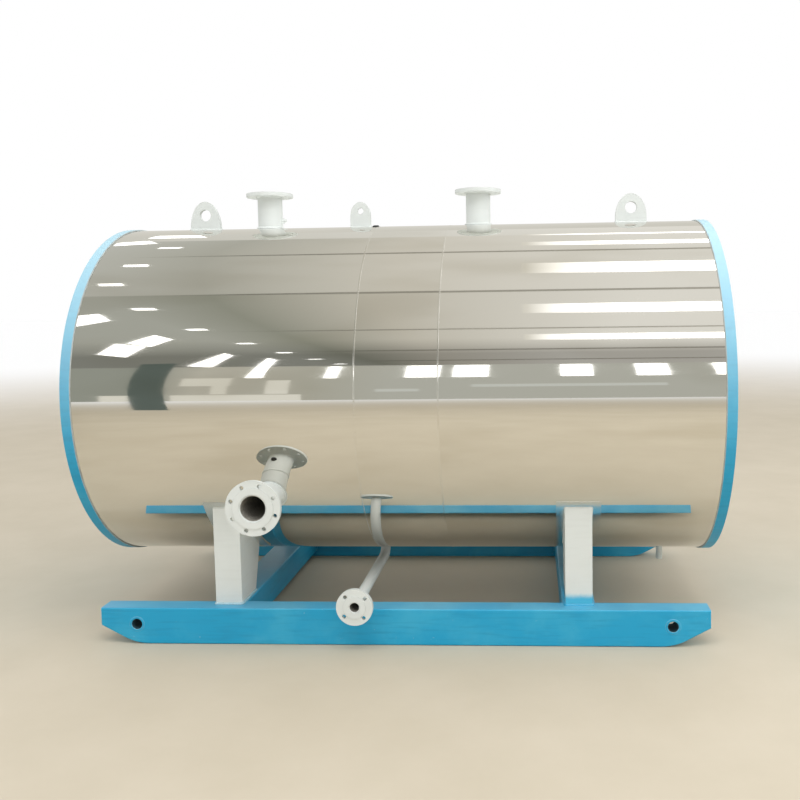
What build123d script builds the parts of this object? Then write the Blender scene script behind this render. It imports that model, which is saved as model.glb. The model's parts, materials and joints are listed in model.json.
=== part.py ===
from build123d import *
import math
import os

# Skid-mounted horizontal boiler, millimetres, +Z up, +X along the shell axis.
# The front of the boiler faces -Y. The origin is on the ground under the middle of the shell.

# Shell and cladding
shell_od = 1680.0
shell_length = 2974.0
shell_ground_gap = 282.0
jacket_sheet = 2.0
closing_strip = 370.0
strip_offset = 15.0
fit_gap = 0.3

# Painted end rims and flat end plates
rim_width = 44.0
rim_sheet = 5.0
rim_lip = 42.0
end_plate_thickness = 8.0

# Skid
runner_length = 2803.0
runner_height = 170.0
runner_width = 102.0
skid_narrowing = 302.0
runner_corner = 7.0
toe_face = 84.0
toe_run = 160.0
toe_radius = 240.0
pull_hole_diameter = 50.0
pull_sleeve_wall = 5.0
pull_hole_inset = 168.0
pull_hole_height = 94.0
beam_width = 152.0
beam_height = 140.0
beam_corner = 7.0

# Legs
leg_spacing = 1630.0
leg_width = 124.0
leg_foot_depth = 200.0
leg_top_depth = 241.0
leg_on_runner = 43.0
leg_wall = 10.0

# Flanges of the two top nozzles
top_flange_od = 240.0
top_flange_thickness = 18.0
top_pitch_circle = 200.0
top_bolt_count = 8
top_bolt_hole = 18.0
top_face_od = 178.0
top_pipe_od = 127.0
top_pipe_wall = 6.0

# Flange of the front pipe
front_flange_od = 240.0
front_flange_thickness = 18.0
front_pitch_circle = 200.0
front_bolt_count = 8
front_bolt_hole = 18.0
front_bolt_turn = 4.5
front_face_od = 178.0
front_pipe_od = 121.0
front_pipe_wall = 6.5

# Flange of the drain
drain_flange_od = 165.0
drain_flange_thickness = 20.0
drain_pitch_circle = 125.0
drain_bolt_count = 4
drain_bolt_hole = 18.0
drain_bolt_turn = -4.0
drain_face_od = 102.0
drain_pipe_od = 51.0
drain_pipe_wall = 4.0

# Shared flange and collar details
raised_face = 3.0
pipe_set_back = 6.0
collar_margin = 9.0
collar_sheet = 4.0
inlet_depth = 80.0

# Nozzle places
nozzle_left_from_lug = 347.0
nozzle_right_x = 338.0
nozzle_rise = 185.0
front_pipe_from_leg = 234.0
front_pipe_drop = 421.0
front_pipe_length = 277.0
drain_x = -189.0
drain_height = 216.0
drain_overhang = 112.0
drain_bend = 60.0

# Small stub under the shell
stub_inset = 209.0
stub_od = 34.0
stub_wall = 4.0
stub_length = 96.0
stub_pad_od = 150.0

# Lifting lugs along the crown
lug_left_inset = 376.0
lug_right_inset = 358.0
lug_width = 160.0
lug_height = 149.0
lug_left_shoulder = 5.0
lug_right_shoulder = 30.0
lug_eye = 60.0
lug_eye_height = 77.0
lug_plate = 25.0
small_lug_x = -282.0
small_lug_width = 108.0
small_lug_height = 133.0
small_lug_shoulder = 56.0
small_lug_eye = 31.0
small_lug_eye_height = 85.0
small_lug_plate = 16.0

# Derived places
shell_radius = shell_od / 2
axis_z = shell_ground_gap + shell_radius
half_length = shell_length / 2
jacket_half = half_length - rim_sheet
vessel_radius = shell_radius - jacket_sheet - fit_gap
vessel_half = jacket_half - end_plate_thickness
runner_y = (shell_od - skid_narrowing) / 2
runner_inner_y = runner_y - runner_width / 2
runner_outer_y = runner_y + runner_width / 2
leg_front_y = runner_inner_y + leg_on_runner
leg_x = leg_spacing / 2
pull_x = runner_length / 2 - pull_hole_inset
front_pipe_x = -leg_x + front_pipe_from_leg
front_pipe_seat = math.sqrt(shell_radius**2 - front_pipe_drop**2)
drain_face_y = runner_outer_y + drain_overhang
stub_x = half_length - stub_inset
lug_left_x = -half_length + lug_left_inset
lug_right_x = half_length - lug_right_inset
nozzle_left_x = lug_left_x + nozzle_left_from_lug
top_pipe_bore = top_pipe_od - 2 * top_pipe_wall
front_pipe_bore = front_pipe_od - 2 * front_pipe_wall
drain_pipe_bore = drain_pipe_od - 2 * drain_pipe_wall
stub_bore = stub_od - 2 * stub_wall

TO_FRONT = Rot(90, 0, 0)
TO_GROUND = Rot(180, 0, 0)
FROM_ZERO = (Align.CENTER, Align.CENTER, Align.MIN)


def along_x(radius, length):
    """A cylinder round the shell axis, centred on the middle of the shell."""
    return Pos(0, 0, axis_z) * Rot(0, 90, 0) * Cylinder(radius, length)


def tube(outer, inner, length):
    """A round tube standing on its own XY plane."""
    body = Cylinder(outer / 2, length, align=FROM_ZERO)
    return body - Cylinder(inner / 2, length, align=FROM_ZERO)


def course(start, end):
    """One cladding sheet, rolled to a full ring between two stations on the axis."""
    middle = (start + end) / 2
    length = end - start
    ring = along_x(shell_radius, length) - along_x(shell_radius - jacket_sheet, length)
    return Pos(middle, 0, 0) * ring


def end_rim():
    """The right-hand rim: a band round the jacket with a lip turned in over its end."""
    inner = shell_radius + fit_gap
    outer = inner + rim_sheet
    back = half_length - rim_width
    lip = shell_radius - rim_lip
    profile = Polyline(
        (back, inner),
        (back, outer),
        (half_length, outer),
        (half_length, lip),
        (jacket_half, lip),
        (jacket_half, inner),
        close=True,
    )
    ring = revolve(make_face(Plane.XZ * profile), Axis.X)
    return Pos(0, 0, axis_z) * ring


def flange(od, thickness, pitch_circle, count, bolt_hole, face_od, pipe_od, turn=0.0):
    """A slip-on plate flange with its joint face at z = 0 and its body below."""
    depth = thickness + raised_face
    body = Pos(0, 0, -depth) * Cylinder(od / 2, thickness, align=FROM_ZERO)
    body += Pos(0, 0, -raised_face) * Cylinder(face_od / 2, raised_face, align=FROM_ZERO)
    opening = Cylinder(pipe_od / 2 + fit_gap, depth, align=FROM_ZERO)
    bolt = Cylinder(bolt_hole / 2, depth, align=FROM_ZERO)
    first = 180.0 / count + turn
    body -= Pos(0, 0, -depth) * opening
    body -= Pos(0, 0, -depth) * PolarLocations(pitch_circle / 2, count, first) * bolt
    return body


def inlet(place, seat, pipe_od):
    """The way in through the cladding for a pipe, down to a floor in the vessel."""
    cutter = Cylinder(pipe_od / 2 + fit_gap, shell_od, align=FROM_ZERO)
    return place * Pos(0, 0, seat - inlet_depth) * cutter


def stem(place, seat, pipe_od, pipe_bore, rise):
    """A straight pipe from the floor of its inlet to a height above the shell."""
    start = seat - inlet_depth + fit_gap
    return place * Pos(0, 0, start) * tube(pipe_od, pipe_bore, seat + rise - start)


def on_jacket(body):
    """Cope a piece to the outside of the jacket, so that it seats on the cladding."""
    return body - along_x(shell_radius + fit_gap, shell_length)


def pad(pipe_od, od, place):
    """A thin round plate lying on the curved jacket round a pipe that leaves there."""
    ring = place * tube(od, pipe_od + 2 * fit_gap, shell_od)
    inner = shell_radius + fit_gap
    skin = along_x(inner + collar_sheet, shell_length) - along_x(inner, shell_length)
    return ring & skin


def collar(pipe_od, place):
    """The narrow trim ring round a pipe, a pad with the shared margin."""
    return pad(pipe_od, pipe_od + 2 * collar_margin, place)


def lug(x, width, height, shoulder, eye, eye_height, plate):
    """A lifting eye along the crown, straight up to its shoulder and arched above."""
    foot = Pos(0, shoulder / 2) * Rectangle(width, shoulder)
    outline = foot + Pos(0, shoulder) * Ellipse(width / 2, height - shoulder)
    outline -= Pos(0, eye_height) * Circle(eye / 2)
    body = extrude(Plane.XZ * outline, plate / 2, both=True)
    return on_jacket(Pos(x, 0, axis_z + shell_radius) * body)


def leg():
    """The front right leg: a tapered box post coped to the shell."""
    top = axis_z
    taper = (leg_top_depth - leg_foot_depth) / (shell_ground_gap - runner_height)
    rear_foot = -leg_front_y + leg_foot_depth
    rear_top = rear_foot + taper * (top - runner_height)
    skin = Polyline(
        (-leg_front_y, runner_height),
        (rear_foot, runner_height),
        (rear_top, top),
        (-leg_front_y, top),
        close=True,
    )
    core = Polyline(
        (-leg_front_y + leg_wall, runner_height),
        (rear_foot - leg_wall, runner_height),
        (rear_top - leg_wall, top),
        (-leg_front_y + leg_wall, top),
        close=True,
    )
    post = extrude(make_face(Plane.YZ * skin), leg_width / 2, both=True)
    post -= extrude(make_face(Plane.YZ * core), leg_width / 2 - leg_wall, both=True)
    return Pos(leg_x, 0, 0) * on_jacket(post)


def runner():
    """The front runner: a sled beam with raked toes and a pull hole at each end."""
    half = runner_length / 2
    toe_z = runner_height - toe_face
    outline = Polyline(
        (-half, runner_height),
        (-half, toe_z),
        (-half + toe_run, 0),
        (half - toe_run, 0),
        (half, toe_z),
        (half, runner_height),
        close=True,
    )
    side = make_face(outline)
    low = side.vertices().group_by(Axis.Y)[0]
    side = fillet(low, toe_radius)
    beam = extrude(Plane.XZ * side, runner_width / 2, both=True)
    long_edges = beam.edges().filter_by(Axis.X)
    beam = fillet(long_edges, runner_corner)
    sleeve = Cylinder(pull_hole_diameter / 2 + pull_sleeve_wall + fit_gap, runner_width)
    for side_x in (-pull_x, pull_x):
        beam -= Pos(side_x, 0, pull_hole_height) * TO_FRONT * sleeve
    return Pos(0, -runner_y, 0) * beam


def pull_sleeve(x, y):
    """The tube that lines a pull hole through the width of a runner."""
    outer = pull_hole_diameter + 2 * pull_sleeve_wall
    lining = tube(outer, pull_hole_diameter, runner_width)
    return Pos(x, y + runner_width / 2, pull_hole_height) * TO_FRONT * lining


def cross_beam():
    """A box beam between the runners under a pair of legs, flush with their tops."""
    body = Box(beam_width, 2 * runner_inner_y, beam_height, align=FROM_ZERO)
    body = fillet(body.edges().filter_by(Axis.Y), beam_corner)
    return Pos(0, 0, runner_height - beam_height) * body


def drain_pipe():
    """The drain: from the small flange straight back under the shell, then up into it."""
    start = (drain_x, -drain_face_y + pipe_set_back, drain_height)
    corner = (drain_x, 0, drain_height)
    finish = (drain_x, 0, shell_ground_gap + inlet_depth - fit_gap)
    path = FilletPolyline(start, corner, finish, radius=drain_bend)
    section = Circle(drain_pipe_od / 2) - Circle(drain_pipe_bore / 2)
    plane = Plane(origin=start, x_dir=(1, 0, 0), z_dir=(0, 1, 0))
    return sweep(plane * section, path=path)


parts = {}

# Places of the pipes: each local Z axis points out of the shell
left_place = Pos(nozzle_left_x, 0, axis_z)
right_place = Pos(nozzle_right_x, 0, axis_z)
front_place = Pos(front_pipe_x, 0, axis_z - front_pipe_drop) * TO_FRONT
drain_place = Pos(drain_x, 0, axis_z) * TO_GROUND
stub_place = Pos(stub_x, 0, axis_z) * TO_GROUND
inlets = [
    inlet(left_place, shell_radius, top_pipe_od),
    inlet(right_place, shell_radius, top_pipe_od),
    inlet(front_place, front_pipe_seat, front_pipe_od),
    inlet(drain_place, shell_radius, drain_pipe_od),
    inlet(stub_place, shell_radius, stub_od),
]

# Insulated vessel and its polished cladding, two wide sheets and a closing strip
core = along_x(vessel_radius, 2 * vessel_half)
parts["vessel_core"] = core - inlets
seam_left = strip_offset - closing_strip / 2
seam_right = strip_offset + closing_strip / 2
half_gap = fit_gap / 2
parts["jacket_left"] = course(-jacket_half, seam_left - half_gap) - inlets
parts["jacket_middle"] = course(seam_left + half_gap, seam_right - half_gap) - inlets
parts["jacket_right"] = course(seam_right + half_gap, jacket_half) - inlets

# End rims and end plates
rim = end_rim()
parts["end_rim_right"] = rim
parts["end_rim_left"] = mirror(rim, about=Plane.YZ)
plate = along_x(vessel_radius, end_plate_thickness)
plate_x = vessel_half + end_plate_thickness / 2
parts["end_plate_right"] = Pos(plate_x, 0, 0) * plate
parts["end_plate_left"] = Pos(-plate_x, 0, 0) * plate

# Top nozzles
top_flange = flange(
    top_flange_od,
    top_flange_thickness,
    top_pitch_circle,
    top_bolt_count,
    top_bolt_hole,
    top_face_od,
    top_pipe_od,
)
nozzle_reach = shell_radius + nozzle_rise
nozzle_tube_rise = nozzle_rise - pipe_set_back
for name, place in (("nozzle_left", left_place), ("nozzle_right", right_place)):
    parts[f"{name}_tube"] = stem(
        place, shell_radius, top_pipe_od, top_pipe_bore, nozzle_tube_rise
    )
    parts[f"{name}_flange"] = place * Pos(0, 0, nozzle_reach) * top_flange
    parts[f"{name}_collar"] = collar(top_pipe_od, place)

# Front pipe
front_reach = front_pipe_seat + front_pipe_length
front_flange = flange(
    front_flange_od,
    front_flange_thickness,
    front_pitch_circle,
    front_bolt_count,
    front_bolt_hole,
    front_face_od,
    front_pipe_od,
    front_bolt_turn,
)
front_tube_rise = front_pipe_length - pipe_set_back
parts["front_pipe_tube"] = stem(
    front_place, front_pipe_seat, front_pipe_od, front_pipe_bore, front_tube_rise
)
parts["front_pipe_flange"] = front_place * Pos(0, 0, front_reach) * front_flange
parts["front_pipe_collar"] = collar(front_pipe_od, front_place)

# Drain line
drain_flange = flange(
    drain_flange_od,
    drain_flange_thickness,
    drain_pitch_circle,
    drain_bolt_count,
    drain_bolt_hole,
    drain_face_od,
    drain_pipe_od,
    drain_bolt_turn,
)
drain_mouth = Pos(drain_x, -drain_face_y, drain_height) * TO_FRONT
parts["drain_tube"] = drain_pipe()
parts["drain_flange"] = drain_mouth * drain_flange
parts["drain_collar"] = collar(drain_pipe_od, drain_place)

# Short stub under the shell
parts["stub_tube"] = stem(stub_place, shell_radius, stub_od, stub_bore, stub_length)
parts["stub_pad"] = pad(stub_od, stub_pad_od, stub_place)

# Lifting lugs
eye_sizes = (lug_eye, lug_eye_height, lug_plate)
parts["lug_left"] = lug(lug_left_x, lug_width, lug_height, lug_left_shoulder, *eye_sizes)
parts["lug_right"] = lug(lug_right_x, lug_width, lug_height, lug_right_shoulder, *eye_sizes)
parts["lug_small"] = lug(
    small_lug_x,
    small_lug_width,
    small_lug_height,
    small_lug_shoulder,
    small_lug_eye,
    small_lug_eye_height,
    small_lug_plate,
)

# Legs
front_right = leg()
front_left = mirror(front_right, about=Plane.YZ)
parts["leg_front_right"] = front_right
parts["leg_front_left"] = front_left
parts["leg_rear_right"] = mirror(front_right, about=Plane.XZ)
parts["leg_rear_left"] = mirror(front_left, about=Plane.XZ)

# Skid
front_runner = runner()
parts["runner_front"] = front_runner
parts["runner_rear"] = mirror(front_runner, about=Plane.XZ)
for row, y in (("front", -runner_y), ("rear", runner_y)):
    for side, x in (("left", -pull_x), ("right", pull_x)):
        parts[f"pull_sleeve_{row}_{side}"] = pull_sleeve(x, y)
parts["cross_beam_right"] = Pos(leg_x, 0, 0) * cross_beam()
parts["cross_beam_left"] = Pos(-leg_x, 0, 0) * cross_beam()

os.makedirs("parts", exist_ok=True)
for name, body in parts.items():
    export_step(body, f"parts/{name}.step")
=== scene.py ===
"""Finishes, welds, seals and small fittings of a skid-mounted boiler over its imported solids."""

from __future__ import annotations

import json
import logging
import math
from dataclasses import dataclass, field
from enum import Enum

import bmesh
import bpy
import numpy as np
from mathutils import Matrix, Vector

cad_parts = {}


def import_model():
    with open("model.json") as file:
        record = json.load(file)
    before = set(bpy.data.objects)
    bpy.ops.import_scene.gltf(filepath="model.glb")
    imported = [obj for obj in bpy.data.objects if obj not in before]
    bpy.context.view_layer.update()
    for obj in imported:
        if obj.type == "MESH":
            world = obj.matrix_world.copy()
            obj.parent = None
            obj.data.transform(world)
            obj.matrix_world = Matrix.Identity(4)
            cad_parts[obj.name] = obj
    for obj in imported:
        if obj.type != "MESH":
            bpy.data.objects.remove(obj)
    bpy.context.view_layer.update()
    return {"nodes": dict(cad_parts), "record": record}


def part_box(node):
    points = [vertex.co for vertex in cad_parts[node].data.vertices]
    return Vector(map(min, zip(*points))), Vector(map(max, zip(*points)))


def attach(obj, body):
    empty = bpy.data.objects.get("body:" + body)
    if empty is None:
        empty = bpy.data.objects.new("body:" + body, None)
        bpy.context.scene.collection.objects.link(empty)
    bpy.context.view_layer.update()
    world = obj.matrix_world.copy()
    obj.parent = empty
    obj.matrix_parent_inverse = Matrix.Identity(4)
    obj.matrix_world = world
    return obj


LOG = logging.getLogger("boiler")
Array = np.ndarray
MM = 0.001
# The shared frame's directions: +X, +Y and +Z.
RIGHT, BACK, UP = np.eye(3)
# The distance between points along a small loop or weld, and between a weld's ripples.
FINE_STEP = 0.002
WELD_PITCH = 0.008


class Slot(Enum):
    """The record's material slots."""

    JACKET = "jacket"
    BLUE = "blue_paint"
    WHITE = "white_paint"
    INSULATION = "insulation"


class Heading(Enum):
    """The ways in which a pipe leaves the shell."""

    UP = (0.0, 0.0, 1.0)
    FRONT = (0.0, -1.0, 0.0)
    DOWN = (0.0, 0.0, -1.0)


def linear(code: str) -> tuple[float, float, float, float]:
    """Turn an sRGB hex colour into linear RGBA.

    Args:
        code: A colour such as "#3A9CC2".

    Returns:
        Red, green, blue and alpha for a shader socket.
    """
    raw = np.array([int(code[i : i + 2], 16) for i in (1, 3, 5)]) / 255.0
    low = raw / 12.92
    high = ((raw + 0.055) / 1.055) ** 2.4
    red, green, blue = np.where(raw <= 0.04045, low, high)
    return float(red), float(green), float(blue), 1.0


def per_metre(size_mm: float) -> float:
    """The texture scale at which one feature is about that many millimetres wide."""
    return 1000.0 / size_mm


def add_node(
    tree: bpy.types.NodeTree,
    kind: str,
    inputs: dict | None = None,
    **settings: object,
) -> bpy.types.Node:
    """Add one node with its settings, values and links.

    Args:
        tree: The node tree that gets the node.
        kind: The node's type name.
        inputs: Values, or output sockets to link, by input name or number.
        settings: Properties set on the node itself.

    Returns:
        The new node.
    """
    node = tree.nodes.new(kind)
    for key, value in settings.items():
        setattr(node, key, value)
    for key, value in (inputs or {}).items():
        if isinstance(value, bpy.types.NodeSocket):
            tree.links.new(value, node.inputs[key])
        else:
            node.inputs[key].default_value = value
    return node


def blank_material(name: str) -> tuple[bpy.types.Material, bpy.types.NodeTree]:
    """Make an empty node material.

    Args:
        name: The material's name.

    Returns:
        The material and its cleared node tree.
    """
    material = bpy.data.materials.new(name)
    material.use_nodes = True
    material.node_tree.nodes.clear()
    return material, material.node_tree


def close_material(tree: bpy.types.NodeTree, shader: bpy.types.Node) -> None:
    """Link a shader to the material's output."""
    add_node(tree, "ShaderNodeOutputMaterial", {"Surface": shader.outputs[0]})


@dataclass
class Grid:
    """Points of a surface of two parameters, and which of the two run round."""

    points: Array
    wrap_u: bool = False
    wrap_v: bool = True

    def faces(self, shift: int) -> Array:
        """Index the quads of the grid.

        Args:
            shift: How many points stand before this grid's own.

        Returns:
            An array of quads, four point numbers each.
        """
        rows, columns = self.points.shape[:2]
        i = np.arange(rows if self.wrap_u else rows - 1)[:, None]
        j = np.arange(columns if self.wrap_v else columns - 1)[None, :]
        next_i = (i + 1) % rows
        next_j = (j + 1) % columns
        corners = (
            i * columns + j,
            next_i * columns + j,
            next_i * columns + next_j,
            i * columns + next_j,
        )
        return np.stack(corners, axis=-1).reshape(-1, 4) + shift


def make_piece(
    name: str,
    grids: list[Grid],
    material: bpy.types.Material,
    sharp_deg: float = 50.0,
) -> None:
    """Turn grids into one piece that rides on the boiler, with its place in its mesh.

    Args:
        name: The piece's name.
        grids: The surfaces that make it up.
        material: Its finish.
        sharp_deg: Edges steeper than this stay sharp.
    """
    counts = [grid.points.shape[0] * grid.points.shape[1] for grid in grids]
    shifts = np.concatenate([[0], np.cumsum(counts)[:-1]]).astype(int)
    points = np.concatenate([grid.points.reshape(-1, 3) for grid in grids])
    faces = np.concatenate([grid.faces(int(s)) for grid, s in zip(grids, shifts)])
    mesh = bpy.data.meshes.new(name)
    mesh.from_pydata(points.tolist(), [], faces.tolist())
    work = bmesh.new()
    work.from_mesh(mesh)
    bmesh.ops.remove_doubles(work, verts=work.verts, dist=1e-6)
    bmesh.ops.dissolve_degenerate(work, edges=work.edges, dist=1e-7)
    bmesh.ops.recalc_face_normals(work, faces=work.faces)
    work.to_mesh(mesh)
    work.free()
    mesh.polygons.foreach_set("use_smooth", np.ones(len(mesh.polygons), dtype=bool))
    mesh.set_sharp_from_angle(angle=math.radians(sharp_deg))
    mesh.materials.append(material)
    piece = bpy.data.objects.new(name, mesh)
    bpy.context.scene.collection.objects.link(piece)
    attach(piece, "root")
    LOG.info("%s: %d faces", name, len(mesh.polygons))


def run_of(path: Array, closed: bool) -> tuple[Array, float]:
    """Measure along a path.

    Args:
        path: Points in order.
        closed: Whether the last point goes on to the first.

    Returns:
        The distance of each point from the first, and the whole length.
    """
    steps = np.linalg.norm(np.roll(path, -1, axis=0) - path, axis=1)
    run = np.concatenate([[0.0], np.cumsum(steps[:-1])])
    return run, float(steps.sum() if closed else run[-1])


def shut_ends(section: Array) -> Array:
    """Add a collapsed section at both ends of an open sweep, so that it is closed.

    Args:
        section: The sweep's points, by place along it and round its section.

    Returns:
        The points with the two ends shut.
    """
    width = section.shape[1]
    first = np.repeat(section[:1].mean(axis=1, keepdims=True), width, axis=1)
    last = np.repeat(section[-1:].mean(axis=1, keepdims=True), width, axis=1)
    return np.concatenate([first, section, last])


def ripple_phase(path: Array, closed: bool, pitch: float, lag: Array) -> Array:
    """The phase of a seam's ripples: whole turns spread over its length, plus a lag across it.

    Args:
        path: Points along the seam.
        closed: Whether it runs round.
        pitch: The distance between ripples.
        lag: The further phase at each point of the section.

    Returns:
        The phase at each point along and across the seam.
    """
    run, length = run_of(path, closed)
    waves = max(1, round(length / pitch))
    return 2 * math.pi * waves * run[:, None] / length + lag[None, :]


def fillet_weld(
    corner: Array,
    side_a: Array,
    side_b: Array,
    leg: float,
    closed: bool,
    pitch: float = WELD_PITCH,
) -> Grid:
    """Carry a fillet weld along an inside corner.

    Each section is a quarter round, corner + leg (a cos phi + b sin phi), with its root sunk a
    little into both plates. The leg grows and shrinks by a twelfth with the distance along the
    seam, a little later at the toes, which gives the weld its crescent ripples.

    Args:
        corner: Points along the corner.
        side_a: At each point, the direction along the first plate.
        side_b: At each point, the direction along the second plate.
        leg: How far the weld reaches along each plate.
        closed: Whether the seam runs round.
        pitch: The distance between ripples.

    Returns:
        The weld as a closed surface.
    """
    steps, toe_lag, twelfth, root_sink = 7, 1.4, 1.0 / 12.0, 0.2
    phi = np.linspace(0.0, math.pi / 2, steps)
    phase = ripple_phase(corner, closed, pitch, toe_lag * np.cos(2 * phi))
    reach = leg * (1.0 + twelfth * np.cos(phase))
    along_a = (reach * np.cos(phi))[..., None] * side_a[:, None]
    along_b = (reach * np.sin(phi))[..., None] * side_b[:, None]
    crown = corner[:, None] + along_a + along_b
    root = corner - root_sink * leg * (side_a + side_b)
    section = np.concatenate([crown, root[:, None]], axis=1)
    return Grid(section if closed else shut_ends(section), wrap_u=closed)


def cap_bead(
    path: Array,
    across: Array,
    out: Array,
    half_width: float,
    height: float,
    closed: bool,
    ripple: float = 0.1,
    pitch: float = WELD_PITCH,
) -> Grid:
    """Lay a low rounded bead along a flush joint.

    Each section is half an ellipse, path + w across cos psi + h out sin psi, whose root lies
    under the surface. The height rises and falls with the distance along the bead.

    Args:
        path: Points along the joint.
        across: At each point, the direction across the joint.
        out: At each point, the direction out of the surface.
        half_width: Half the bead's width.
        height: How far it stands proud.
        closed: Whether it runs round.
        ripple: The share by which the height varies.
        pitch: The distance between ripples.

    Returns:
        The bead as a closed surface.
    """
    steps, toe_lag, root_sink = 9, 1.2, 0.6
    psi = np.linspace(0.0, math.pi, steps)
    phase = ripple_phase(path, closed, pitch, toe_lag * np.cos(2 * psi))
    lift = height * (1.0 + ripple * np.cos(phase)) * np.sin(psi)
    side = half_width * np.cos(psi)
    crown = path[:, None] + side[None, :, None] * across[:, None] + lift[..., None] * out[:, None]
    root = path - root_sink * height * out
    section = np.concatenate([crown, root[:, None]], axis=1)
    return Grid(section if closed else shut_ends(section), wrap_u=closed)


def circle(centre: Array, u: Array, v: Array, radius: float, count: int) -> tuple[Array, Array]:
    """Go round a circle: centre + r (u cos t + v sin t).

    Args:
        centre: The middle.
        u: The direction at t = 0.
        v: The direction a quarter turn on.
        radius: The radius.
        count: How many points.

    Returns:
        The points and their outward directions.
    """
    t = np.linspace(0.0, 2 * math.pi, count, endpoint=False)[:, None]
    outward = np.cos(t) * u + np.sin(t) * v
    return centre + radius * outward, outward


def turned(profile: Array, centre: Array, axis: Array, u: Array, v: Array, count: int) -> Grid:
    """Turn a profile round an axis: centre + s axis + r (u cos t + v sin t).

    Args:
        profile: Rows of (distance along the axis, radius), as a closed outline or ending on it.
        centre: A point on the axis.
        axis: The axis direction.
        u: The first direction across the axis.
        v: The second direction across the axis.
        count: How many steps round.

    Returns:
        The turned surface.
    """
    t = np.linspace(0.0, 2 * math.pi, count, endpoint=False)[:, None, None]
    radial = np.cos(t) * u + np.sin(t) * v
    along = profile[None, :, 0, None] * axis
    points = centre + along + profile[None, :, 1, None] * radial
    return Grid(points, wrap_u=True, wrap_v=False)


def box_loop(
    middle: tuple[float, float],
    half: tuple[float, float],
    corner: float,
    step: float,
) -> tuple[Array, Array]:
    """Go round a rectangle with rounded corners at even steps.

    The corners are four quarter circles whose angle is the outward direction, and the sides are
    what joins them; both are read off at equal distances along the loop.

    Args:
        middle: The rectangle's centre in X and Y.
        half: Its half sizes.
        corner: Its corner radius.
        step: The distance between points.

    Returns:
        Points and outward directions in the XY plane, as rows of three numbers.
    """
    per_corner, fewest = 6, 24
    quarter = np.linspace(0.0, math.pi / 2, per_corner)
    angle = np.concatenate([quarter + k * math.pi / 2 for k in range(4)])
    sign_x = np.repeat([1.0, -1.0, -1.0, 1.0], per_corner)
    sign_y = np.repeat([1.0, 1.0, -1.0, -1.0], per_corner)
    x = middle[0] + sign_x * (half[0] - corner) + corner * np.cos(angle)
    y = middle[1] + sign_y * (half[1] - corner) + corner * np.sin(angle)
    x = np.append(x, x[0])
    y = np.append(y, y[0])
    angle = np.append(angle, 2 * math.pi)
    run = np.concatenate([[0.0], np.cumsum(np.hypot(np.diff(x), np.diff(y)))])
    places = np.linspace(0.0, run[-1], max(fewest, round(run[-1] / step)), endpoint=False)
    turn = np.interp(places, run, angle)
    flat = np.zeros_like(places)
    points = np.stack([np.interp(places, run, x), np.interp(places, run, y), flat], axis=1)
    return points, np.stack([np.cos(turn), np.sin(turn), flat], axis=1)


def line(start: tuple, end: tuple) -> Array:
    """Points at even fine steps from a start to an end.

    Args:
        start: The first point.
        end: The last point.

    Returns:
        The points in order.
    """
    a, b = np.array(start, dtype=float), np.array(end, dtype=float)
    count = max(2, round(float(np.linalg.norm(b - a)) / FINE_STEP) + 1)
    return a + np.linspace(0.0, 1.0, count)[:, None] * (b - a)


def same(direction: tuple | Array, path: Array) -> Array:
    """One direction for every point of a path."""
    return np.tile(np.array(direction, dtype=float), (len(path), 1))


@dataclass(frozen=True)
class Bore:
    """The inside of a pipe or pull sleeve, as rolled in a pipe and in painted shade in a sleeve: a
    point on its axis, the axis and its radius.
    """

    centre: tuple[float, float, float]
    heading: Heading
    radius: float
    deep: str = "#45443F"
    pale: str = "#B5B1A6"
    grime_mm: float = 11.0


@dataclass(frozen=True)
class OversprayAndHighlight:
    """A second colour over part of a piece, full at one height and gone at another.

    Specks make its edge wander by the ragged distance. It serves for real overspray and for a
    painted highlight that pales a piece towards its top.
    """

    colour: str
    full_z: float
    none_z: float
    share: float = 0.95
    ragged: float = 0.02


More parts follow.
